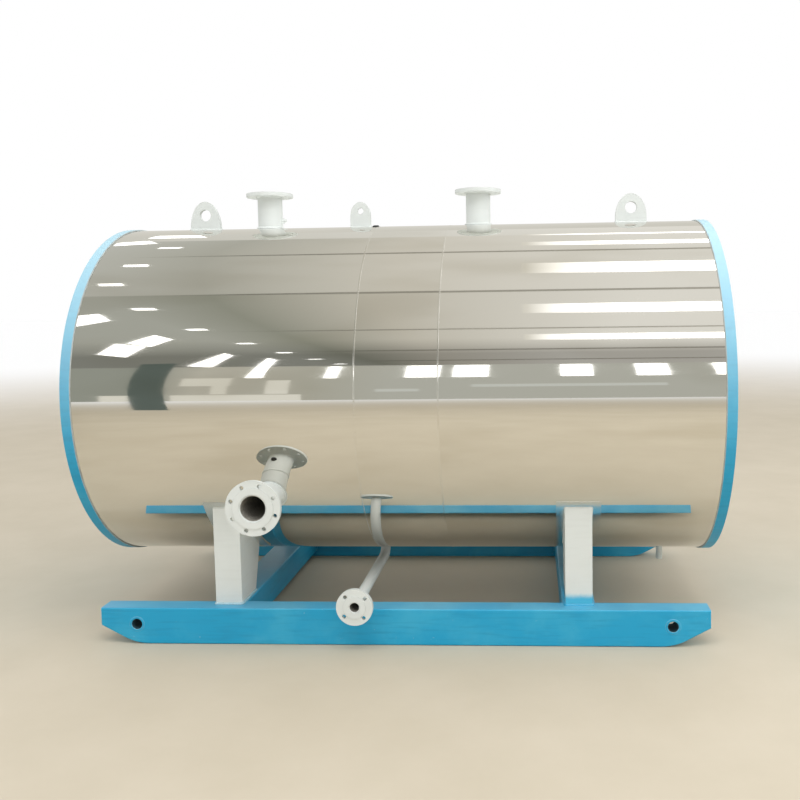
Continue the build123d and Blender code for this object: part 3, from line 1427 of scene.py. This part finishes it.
@dataclass
class Legs:
    """The four legs: foot welds on the skid, and at the top a cover plate and its seal."""

    shell: Shell
    palette: Palette
    foot_depth: float = 0.200
    top_depth: float = 0.2586
    corner: float = 0.0015
    weld_leg: float = 0.008
    seal_leg: float = 0.004
    seal_step: float = 0.004
    seal_pitch: float = 0.09
    cover_side: float = 0.040
    cover_ahead: float = 0.019
    cover_behind: float = 0.070
    cover_thick: float = 0.0015
    cover_slack: float = 0.008
    cover_round: float = 0.0006
    cover_edge_share: float = 0.6
    cover_sink: float = 0.0005
    cover_points: tuple[int, int] = (73, 21)

    def build(self) -> None:
        """Make the foot weld, the cover plate and the top seal of each leg.

        The front left cover has gone dull under paint mist.
        """
        satin = PolishedStainless("satin_stainless", 31.0, roughness=0.1, smear_mm=320.0)
        dulled = PolishedStainless("dulled_stainless", 37.0, roughness=0.26, smear_mm=320.0)
        plain, misted = satin.material(), dulled.material()
        for row, row_side in (("front", -1.0), ("rear", 1.0)):
            for side in ("left", "right"):
                node = f"leg_{row}_{side}"
                self._foot(node, row_side)
                cover = self._cover(node, row_side)
                finish = misted if node == "leg_front_left" else plain
                make_piece(f"{node}_cover", [cover], finish, sharp_deg=40.0)
                self._seal(node, row_side)

    def _outline(self, node: str, row_side: float, depth: float) -> tuple[tuple, tuple]:
        """The middle and half sizes of a leg's outline at a given depth.

        Args:
            node: The leg.
            row_side: -1 for the front row, 1 for the rear one.
            depth: The outline's depth.

        Returns:
            The middle and the half sizes, each in X and Y.
        """
        low, high, middle = span(node)
        face = high[1] if row_side > 0 else -low[1]
        return (middle[0], row_side * (face - depth / 2)), ((high[0] - low[0]) / 2, depth / 2)

    def _reach(self, node: str, row_side: float) -> tuple[float, float]:
        """The angles from the shell's lowest line at which a leg's cover begins and ends.

        Args:
            node: The leg.
            row_side: -1 for the front row, 1 for the rear one.

        Returns:
            The lower and the upper angle.
        """
        middle, half = self._outline(node, row_side, self.top_depth)
        inner = abs(middle[1]) - half[1] - self.cover_behind
        outer = abs(middle[1]) + half[1] + self.cover_ahead
        return math.asin(inner / self.shell.radius), math.asin(outer / self.shell.radius)

    def _lift(self, theta: Array, upper: float) -> Array:
        """How far a cover stands off the cladding: tight at its upper edge, slack below."""
        return self.cover_slack * self.shell.radius * np.maximum(upper - theta, 0.0)

    def _cover(self, node: str, row_side: float) -> Grid:
        """Bend a thin plate on to the shell, round the top of a leg.

        With theta from the shell's lowest line and r the shell's radius, lifted by the slack and
        the plate's own section, a point is (x, r sin theta, -r cos theta) from the shell's axis.

        Args:
            node: The leg.
            row_side: -1 for the front row, 1 for the rear one.

        Returns:
            The plate as a closed surface.
        """
        lower, upper = self._reach(node, row_side)
        middle, half = self._outline(node, row_side, self.top_depth)
        rows, columns = self.cover_points
        wide = half[0] + self.cover_side
        top = np.linspace(-1.0, 1.0, columns) * (wide - self.cover_round)
        x = middle[0] + np.concatenate([[-wide], top, [wide, wide, -wide]])
        edge = [self.cover_edge_share]
        thick = np.concatenate([edge, np.ones(columns), edge]) * self.cover_thick
        theta = np.linspace(lower, upper, rows)
        lifted = self._lift(theta, upper)[:, None] + thick[None, :]
        sunk = np.full((rows, 2), -self.cover_sink)
        radius = self.shell.radius + np.concatenate([lifted, sunk], axis=1)
        y = row_side * radius * np.sin(theta)[:, None]
        z = self.shell.axis_z - radius * np.cos(theta)[:, None]
        return Grid(shut_ends(np.stack(np.broadcast_arrays(x[None, :], y, z), axis=-1)))

    def _foot(self, node: str, row_side: float) -> None:
        """Weld round the leg's foot on top of runner and beam.

        Args:
            node: The leg.
            row_side: -1 for the front row, 1 for the rear one.
        """
        middle, half = self._outline(node, row_side, self.foot_depth)
        seam, outward = box_loop(middle, half, self.corner, FINE_STEP)
        seam[:, 2] = span(node)[0][2]
        weld = fillet_weld(seam, same(UP, seam), outward, self.weld_leg, True)
        finish = self.palette.worn if node == "leg_front_left" else self.palette.blue
        make_piece(f"{node}_foot_weld", [weld], finish)

    def _seal(self, node: str, row_side: float) -> None:
        """Seal the leg's outline on its cover: a rectangle slid down on to the plate.

        Args:
            node: The leg.
            row_side: -1 for the front row, 1 for the rear one.
        """
        middle, half = self._outline(node, row_side, self.top_depth)
        loop, outward = box_loop(middle, half, self.corner, self.seal_step)
        theta = np.arcsin(np.abs(loop[:, 1]) / self.shell.radius)
        over = self._lift(theta, self._reach(node, row_side)[1]) + self.cover_thick
        seam = self.shell.seat(loop, Heading.DOWN, over)
        along = self.shell.flattened(outward, seam)
        bead = fillet_weld(seam, same(-UP, seam), along, self.seal_leg, True, self.seal_pitch)
        make_piece(f"{node}_seal", [bead], self.palette.white)

    def dress(self, nodes: dict[str, bpy.types.Object]) -> None:
        """Paint the legs; the blue of the skid has drifted up the foot of the front right one.

        Args:
            nodes: The frame's nodes by name.
        """
        misty = OversprayAndHighlight("#2FB0D2", full_z=0.198, none_z=0.232)
        dusted = WHITE_ENAMEL.material("_oversprayed", overspray_and_highlight=misty)
        for name in ("leg_front_left", "leg_rear_left", "leg_rear_right"):
            dress(nodes, name, self.palette.white)
        dress(nodes, "leg_front_right", dusted)


@dataclass
class Skid:
    """The sled frame: welds where the beams meet the runners and round the pull sleeves.

    A bead's size is half its width and its height.
    """

    palette: Palette
    sleeve_bore: float = 0.025
    weld_leg: float = 0.008
    top_bead: tuple[float, float] = (0.009, 0.0028)
    top_inset: float = 0.004
    top_sink: float = 0.0012
    ring_bead: tuple[float, float] = (0.0055, 0.0022)
    ring_points: int = 120

    def build(self) -> None:
        """Make the welds of each beam end and each sleeve."""
        for side in ("left", "right"):
            for row, y_side in (("front", -1.0), ("rear", 1.0)):
                grids = self._beam_end(f"cross_beam_{side}", f"leg_{row}_{side}", y_side)
                make_piece(f"beam_{row}_{side}_welds", grids, self.palette.blue)
                rings = self._sleeve(f"pull_sleeve_{row}_{side}")
                make_piece(f"pull_{row}_{side}_rings", rings, self.palette.blue)

    def _beam_end(self, beam: str, leg: str, y_side: float) -> list[Grid]:
        """Weld a beam's sides, underside and the top beside its leg to the runner's inner face.

        Args:
            beam: The cross beam.
            leg: The leg that stands on it.
            y_side: -1 for its front end, 1 for its rear one.

        Returns:
            The welds.
        """
        low, high, _ = span(beam)
        leg_low, leg_high, _ = span(leg)
        size, inset = self.weld_leg, self.top_inset
        y, top = y_side * high[1], high[2] - self.top_sink
        inward = (0.0, -y_side, 0.0)
        welds = []
        for place, side in ((low[0], -1.0), (high[0], 1.0)):
            corner = line((place, y, low[2] + size), (place, y, high[2] - size))
            away = same((side, 0.0, 0.0), corner)
            welds.append(fillet_weld(corner, away, same(inward, corner), size, False))
        for start, end in ((low[0] + inset, leg_low[0]), (leg_high[0], high[0] - inset)):
            path = line((start, y, top), (end, y, top))
            welds.append(cap_bead(path, same(BACK, path), same(UP, path), *self.top_bead, False))
        under = line((low[0] + size, y, low[2]), (high[0] - size, y, low[2]))
        welds.append(fillet_weld(under, same(-UP, under), same(inward, under), size, False))
        return welds

    def _sleeve(self, sleeve: str) -> list[Grid]:
        """Ring a pull sleeve on both faces of its runner.

        Args:
            sleeve: The sleeve.

        Returns:
            The two rings.
        """
        low, high, middle = span(sleeve)
        rings = []
        for y, out in ((low[1], -1.0), (high[1], 1.0)):
            centre = np.array([middle[0], y, middle[2]])
            path, radial = circle(centre, RIGHT, UP, (high[0] - low[0]) / 2, self.ring_points)
            rings.append(cap_bead(path, radial, same(out * BACK, path), *self.ring_bead, True))
        return rings

    def dress(self, nodes: dict[str, bpy.types.Object]) -> None:
        """Paint runners, beams and sleeves.

        Args:
            nodes: The frame's nodes by name.
        """
        for name in sorted(n for n in nodes if n.startswith(("runner_", "cross_beam_"))):
            dress(nodes, name, self.palette.blue)
        for name in sorted(n for n in nodes if n.startswith("pull_sleeve_")):
            middle = tuple(span(name)[2])
            # The dark teal tones inside the pull sleeves are painted shade in the holes.
            bore = Bore(middle, Heading.FRONT, self.sleeve_bore, "#14333F", "#33606F")
            dress(nodes, name, WORN_ENAMEL.material(f"_{name}", bore=bore))


@dataclass(frozen=True)
class Glow:
    """An even light-giving surface of the studio.

    Its tone may change along X, from one (place, colour) pair to the next, and its strength may
    fall along Y: where the fall starts, where it ends and the share that is left there.
    """

    name: str
    tones: tuple[tuple[float, str], ...]
    strength: float = 0.95
    fall: tuple[float, float, float] = (0.0, -1.0, 1.0)

    def material(self) -> bpy.types.Material:
        """Build the emission material.

        Returns:
            The finished material.
        """
        material, tree = blank_material(self.name)
        place = add_node(tree, "ShaderNodeTexCoord").outputs["Object"]
        apart = add_node(tree, "ShaderNodeSeparateXYZ", {"Vector": place})
        start, end = self.tones[0][0], self.tones[-1][0]
        share = add_node(
            tree,
            "ShaderNodeMapRange",
            {"Value": apart.outputs["X"], "From Min": start, "From Max": max(end, start + 1.0)},
        ).outputs[0]
        ramp = add_node(tree, "ShaderNodeValToRGB", {"Fac": share})
        stops = ramp.color_ramp.elements
        stops.remove(stops[1])
        stops[0].position = 0.0
        stops[0].color = linear(self.tones[0][1])
        for x, code in self.tones[1:]:
            stops.new((x - start) / (end - start)).color = linear(code)
        power = add_node(
            tree,
            "ShaderNodeMapRange",
            {
                "Value": apart.outputs["Y"],
                "From Min": self.fall[0],
                "From Max": self.fall[1],
                "To Min": self.strength,
                "To Max": self.strength * self.fall[2],
            },
        ).outputs[0]
        shader = add_node(
            tree, "ShaderNodeEmission", {"Color": ramp.outputs[0], "Strength": power}
        )
        close_material(tree, shader)
        return material


@dataclass
class Studio:
    """The floor, the cards and light boxes that the jacket mirrors, the lamps and the camera."""

    floor_half: float = 90.0
    floor_sink: float = 0.0005
    floor_cloud_mm: float = 600.0
    floor_fade: tuple[float, float] = (7.0, 22.0)
    card_half: float = 24.0
    ceiling_z: float = 8.0
    wall_y: float = -20.0
    back_y: float = 9.0
    crown_gap: float = 0.014
    crown_watts: float = 0.16
    crown_size: tuple[float, float] = (0.28, 0.28)
    crown_spread_deg: float = 60.0
    eye: tuple[float, float, float] = (0.60818, -4.53433, 1.56644)
    yaw_deg: float = -3.0
    pitch_deg: float = 4.6
    roll_deg: float = -0.8
    focal_px: float = 859.08
    centre_px: tuple[float, float] = (486.68, 370.2)
    frame_px: float = 800.0
    sensor_mm: float = 36.0
    clip_end: float = 200.0

    def build(self) -> None:
        """Set up everything that is not part of the boiler."""
        self._floor()
        self._overhead()
        self._far_side()
        self._world()
        self._lamps()
        self._camera()
        bpy.context.scene.view_settings.view_transform = "Standard"

    def _sheet(
        self, name: str, corners: list[tuple], material: bpy.types.Material
    ) -> bpy.types.Object:
        """Add one flat stage sheet.

        Args:
            name: Its name.
            corners: Its corners in order.
            material: Its surface.

        Returns:
            The sheet.
        """
        mesh = bpy.data.meshes.new(name)
        mesh.from_pydata([tuple(c) for c in corners], [], [tuple(range(len(corners)))])
        mesh.materials.append(material)
        sheet = bpy.data.objects.new(name, mesh)
        bpy.context.scene.collection.objects.link(sheet)
        return sheet

    def _reflector(self, name: str, corners: list[tuple], material: bpy.types.Material) -> None:
        """Add a sheet that shows only in the polished jacket and other gloss.

        Args:
            name: Its name.
            corners: Its corners in order.
            material: Its surface.
        """
        sheet = self._sheet(name, corners, material)
        sheet.visible_camera = False
        sheet.visible_diffuse = False
        sheet.visible_shadow = False
        sheet.visible_transmission = False

    def _rectangle(self, x: tuple, y: tuple, z: float) -> list[tuple]:
        """The corners of a level rectangle."""
        return [(x[0], y[0], z), (x[1], y[0], z), (x[1], y[1], z), (x[0], y[1], z)]

    def _upright(self, x: tuple, y: float, z: tuple) -> list[tuple]:
        """The corners of an upright rectangle along X."""
        return [(x[0], y, z[0]), (x[1], y, z[0]), (x[1], y, z[1]), (x[0], y, z[1])]

    def _floor(self) -> None:
        """Lay one pale, faintly clouded floor that turns white far from the boiler."""
        material, tree = blank_material("pale_floor")
        place = add_node(tree, "ShaderNodeTexCoord").outputs["Object"]
        cloud = add_node(
            tree,
            "ShaderNodeTexNoise",
            {
                "Vector": place,
                "Scale": per_metre(self.floor_cloud_mm),
                "Detail": 6.0,
                "Roughness": 0.6,
            },
        ).outputs[0]
        share = add_node(
            tree, "ShaderNodeMapRange", {"Value": cloud, "From Min": 0.3, "From Max": 0.7}
        ).outputs[0]
        tone = add_node(
            tree,
            "ShaderNodeMix",
            {0: share, 6: linear("#C3B9A5"), 7: linear("#CAC0AD")},
            data_type="RGBA",
        ).outputs[2]
        distance = add_node(
            tree, "ShaderNodeVectorMath", {0: place}, operation="LENGTH"
        ).outputs["Value"]
        away = add_node(
            tree,
            "ShaderNodeMapRange",
            {"Value": distance, "From Min": self.floor_fade[0], "From Max": self.floor_fade[1]},
            interpolation_type="SMOOTHSTEP",
        ).outputs[0]
        colour = add_node(
            tree,
            "ShaderNodeMix",
            {0: away, 6: tone, 7: linear("#FFFFFF")},
            data_type="RGBA",
        ).outputs[2]
        shader = add_node(
            tree,
            "ShaderNodeBsdfPrincipled",
            {"Base Color": colour, "Roughness": 0.6, "Specular IOR Level": 0.1},
        )
        close_material(tree, shader)
        wide = (-self.floor_half, self.floor_half)
        self._sheet("studio_floor", self._rectangle(wide, wide, -self.floor_sink), material)

    def _overhead(self) -> None:
        """Hang the diffuser, its battens, strip boxes and a row of small lamps."""
        wide = (-self.card_half, self.card_half)
        top = self.ceiling_z
        back_z, batten_z, box_z, lamp_z = top - 0.02, top - 0.05, top - 0.1, top - 0.12
        fall = (-9.5, -14.0, 0.55)
        far = ((-4.8, "#B9BBB3"), (-3.4, "#A0A296"), (-1.4, "#D8D4C9"), (2.0, "#FBF9F3"))
        near = ((-5.0, "#CFD0CA"), (-3.4, "#C1C1B8"), (-1.0, "#E6E2D8"), (2.0, "#FBF9F3"))
        parting, back_start = -2.75, 5.4
        plane = self._rectangle(wide, (self.wall_y, parting), top)
        self._reflector("far_diffuser", plane, Glow("far_diffuser", far, fall=fall).material())
        plane = self._rectangle(wide, (parting, self.back_y), top)
        self._reflector("near_diffuser", plane, Glow("near_diffuser", near).material())
        pale = Glow("back_diffuser", ((-4.0, "#E4E3DC"), (2.0, "#FAF8F2"))).material()
        plane = self._rectangle(wide, (back_start, self.back_y), back_z)
        self._reflector("back_diffuser", plane, pale)
        dim = ((-3.8, "#A6A79D"), (-3.0, "#8E8E84"), (-1.5, "#B4B1A6"), (3.0, "#C9C6BC"))
        batten = Glow("batten", dim, 0.8, fall).material()
        # Each batten runs out to a point on the left.
        full_x, tip_x = -1.6, -4.4
        battens = ((1.75, 0.1), (parting, 0.1), (-7.6, 0.1), (-12.6, 0.22), (-17.0, 0.22))
        for number, (y, half) in enumerate(battens):
            strip = self._rectangle((full_x, self.card_half), (y - half, y + half), batten_z)
            strip.append((tip_x, y, batten_z))
            self._reflector(f"batten_{number + 1}", strip, batten)
        box = Glow("strip_box", ((0.55, "#93918B"), (1.7, "#FFFFFF")), 3.0).material()
        strips = ((5.36, 0.35), (3.0, 0.7), (-0.4, 1.1), (-4.75, 1.1), (-9.3, 1.2))
        for number, (y, width) in enumerate(strips):
            strip = self._rectangle((0.5, 9.0), (y - width / 2, y + width / 2), box_z)
            self._reflector(f"strip_box_{number + 1}", strip, box)
        bright = Glow("light_box", ((0.0, "#FFFFFF"),), 3.0).material()
        left = (
            ((-6.2, -6.5), (-5.3, -5.6), (-5.2, -4.7), (-5.7, -5.0)),
            ((-8.4, -12.8), (-8.3, -14.0), (-6.5, -10.6), (-6.7, -9.7)),
            ((-6.5, -9.7), (-6.4, -10.6), (-5.4, -8.9), (-5.4, -8.0)),
            ((-8.8, -19.0), (-8.4, -19.8), (-5.8, -13.7), (-5.7, -12.8)),
            ((-5.14, 4.15), (-4.66, 4.67), (-5.05, 5.62), (-5.35, 5.07)),
            ((-5.49, 6.88), (-4.52, 6.84), (-5.09, 8.33), (-5.87, 8.53)),
        )
        for number, quad in enumerate(left):
            corners = [(x, y, box_z) for x, y in quad]
            self._reflector(f"left_box_{number + 1}", corners, bright)
        near_x, far_x, length, half = -4.0, -4.3, 0.3, 0.12
        for number, y in enumerate((3.4, 0.6, -1.5, -4.2, -7.1, -10.0, -12.8, -15.6, -18.4)):
            inner = far_x if y < 0.0 else near_x
            lamp = self._rectangle((inner - length, inner), (y - half, y + half), lamp_z)
            self._reflector(f"lamp_{number + 1}", lamp, bright)

    def _far_side(self) -> None:
        """Stand grey walls far before and behind the boiler, with light boxes and flags."""
        tones = ((-10.4, "#A3A79E"), (-8.6, "#CFCDC2"), (-5.4, "#BDBCB0"), (-3.2, "#C4C5BD"))
        wall = Glow("far_wall", tones).material()
        back = Glow("back_wall", ((0.0, "#E4E2DA"),)).material()
        post = Glow("post_flag", ((0.0, "#6E7A75"),), 0.8).material()
        box = Glow("wall_box", ((0.0, "#FFFFFF"),), 3.0).material()
        pale = Glow("pale_panel", ((0.0, "#F4F2E8"),)).material()
        rail = Glow("pale_rail", ((0.0, "#D9DCD7"),)).material()
        wide, high = (-self.card_half, self.card_half), (0.0, self.ceiling_z)
        panel_y, box_y = self.wall_y + 0.05, self.wall_y + 0.1
        self._reflector("far_wall", self._upright(wide, self.wall_y, high), wall)
        self._reflector("back_wall", self._upright(wide, self.back_y, high), back)
        panels = (
            ((-11.2, -10.2), (0.0, 1.35)),
            ((-9.2, -5.6), (0.0, 1.35)),
            ((-9.0, -7.6), (3.4, 5.2)),
            ((-8.1, -7.65), (1.5, 3.4)),
            ((-6.6, -5.95), (1.5, 4.6)),
        )
        rails = (((-3.6, -2.4), (1.8, 2.4)), ((-1.0, 4.2), (2.7, 3.3)))
        for group, tone, places in (("pale_panel", pale, panels), ("pale_rail", rail, rails)):
            for number, (x, z) in enumerate(places):
                self._reflector(f"{group}_{number + 1}", self._upright(x, panel_y, z), tone)
        boxes = (
            (-5.05, -4.7),
            (-2.83, -1.9),
            (-1.53, -0.57),
            (1.4, 2.27),
            (3.44, 4.33),
            (5.55, 6.3),
        )
        box_low, box_high = 5.0, 7.8
        for number, x in enumerate(boxes):
            corners = self._upright(x, box_y, (box_low, box_high))
            self._reflector(f"wall_box_{number + 1}", corners, box)
        slanted = [(-7.25, box_y, 5.2), (-6.77, box_y, 5.2), (-5.44, -15.86, 7.9)]
        self._reflector("slanted_box", [*slanted, (-5.37, -14.88, 7.9)], box)
        flag = [(-4.4, -7.6, 0.0), (-3.9, -7.48, 0.0), (-3.98, -7.48, 4.0), (-4.5, -7.6, 4.0)]
        self._reflector("post_flag", flag, post)

    def _world(self) -> None:
        """Light the surroundings evenly with a white world."""
        world = bpy.data.worlds.new("studio_world")
        bpy.context.scene.world = world
        world.use_nodes = True
        tree = world.node_tree
        tree.nodes.clear()
        sky = add_node(
            tree, "ShaderNodeBackground", {"Color": linear("#FFFFFF"), "Strength": 1.0}
        )
        add_node(tree, "ShaderNodeOutputWorld", {"Surface": sky.outputs[0]})

    def _lamps(self) -> None:
        """Add the lamps, all left out of mirror reflections.

        Two large soft ones hang overhead and on the right. A small gridded one lies on the crown
        under each top flange, for the light that the polished crown would throw up there.
        """
        self._lamp("overhead_lamp", (0.4, -3.6, 6.5), (0.0, -0.3, 0.8), 165.0)
        self._lamp("right_lamp", (6.5, -2.5, 4.5), (1.3, 0.0, 1.2), 130.0)
        crown = span("jacket_middle")[1][2]
        for side in ("left", "right"):
            x = span(f"nozzle_{side}_tube")[2][0]
            self._lamp(
                f"crown_lamp_{side}",
                (x, 0.0, crown + self.crown_gap),
                (x, 0.0, crown + 1.0),
                self.crown_watts,
                self.crown_size,
                self.crown_spread_deg,
            )

    def _lamp(
        self,
        name: str,
        place: tuple,
        target: tuple,
        watts: float,
        size: tuple[float, float] = (5.0, 3.0),
        spread_deg: float = 180.0,
    ) -> None:
        """Hang one soft lamp.

        Args:
            name: Its name.
            place: Where it hangs.
            target: What it is aimed at.
            watts: Its power.
            size: Its length and width.
            spread_deg: The angle that its light fills.
        """
        lamp = bpy.data.lights.new(name, "AREA")
        lamp.shape = "RECTANGLE"
        lamp.size, lamp.size_y = size
        lamp.spread = math.radians(spread_deg)
        lamp.energy = watts
        hung = bpy.data.objects.new(name, lamp)
        bpy.context.scene.collection.objects.link(hung)
        hung.location = Vector(place)
        aim = Vector(target) - Vector(place)
        hung.rotation_euler = aim.to_track_quat("-Z", "Y").to_euler()
        hung.visible_glossy = False
        hung.visible_camera = False

    def _camera(self) -> None:
        """Place the camera where the photograph was taken from."""
        yaw, pitch, roll = (math.radians(a) for a in (self.yaw_deg, self.pitch_deg, self.roll_deg))
        forward = Vector(
            (math.sin(yaw) * math.cos(pitch), math.cos(yaw) * math.cos(pitch), -math.sin(pitch))
        )
        level = Vector((math.cos(yaw), -math.sin(yaw), 0.0))
        raised = level.cross(forward)
        right = math.cos(roll) * level + math.sin(roll) * raised
        up = -math.sin(roll) * level + math.cos(roll) * raised
        data = bpy.data.cameras.new("camera")
        data.sensor_fit = "HORIZONTAL"
        data.sensor_width = self.sensor_mm
        data.lens = self.focal_px * self.sensor_mm / self.frame_px
        data.shift_x = (self.frame_px / 2 - self.centre_px[0]) / self.frame_px
        data.shift_y = (self.centre_px[1] - self.frame_px / 2) / self.frame_px
        data.clip_end = self.clip_end
        camera = bpy.data.objects.new("camera", data)
        bpy.context.scene.collection.objects.link(camera)
        turn = Matrix((right, up, -forward)).transposed().to_4x4()
        camera.matrix_world = Matrix.Translation(Vector(self.eye)) @ turn
        bpy.context.scene.camera = camera


def main() -> None:
    """Load the frame, build and dress each sub-assembly, and set up the studio."""
    logging.basicConfig(level=logging.INFO, format="%(name)s %(message)s")
    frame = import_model()
    nodes = frame["nodes"]
    Studio().build()
    mounts = {mount["name"]: mount for mount in frame["record"]["mounts"]}
    shell = Shell.measured()
    palette = Palette()
    up, front = Heading.UP, Heading.FRONT
    front_pipe = FlangedPipe.measured("front_pipe", shell, palette, front, mounts)
    assemblies = [
        Cladding(shell, palette),
        EndRims(shell, palette),
        FlangedPipe.measured("nozzle_left", shell, palette, up, mounts),
        FlangedPipe.measured("nozzle_right", shell, palette, up, mounts),
        front_pipe,
        FlangedPipe.measured(
            "drain", shell, palette, front, mounts, weld_leg=0.005, on_shell=False
        ),
        DrainBend(palette),
        Stub(shell, palette),
        PipeFittings(palette, front_pipe),
        LiftingLug("lug_left", shell, palette),
        LiftingLug("lug_right", shell, palette),
        LiftingLug("lug_small", shell, palette, leg=0.005),
        Legs(shell, palette),
        Skid(palette),
    ]
    for assembly in assemblies:
        assembly.build()
        if hasattr(assembly, "dress"):
            assembly.dress(nodes)


if __name__ == "__main__":
    main()
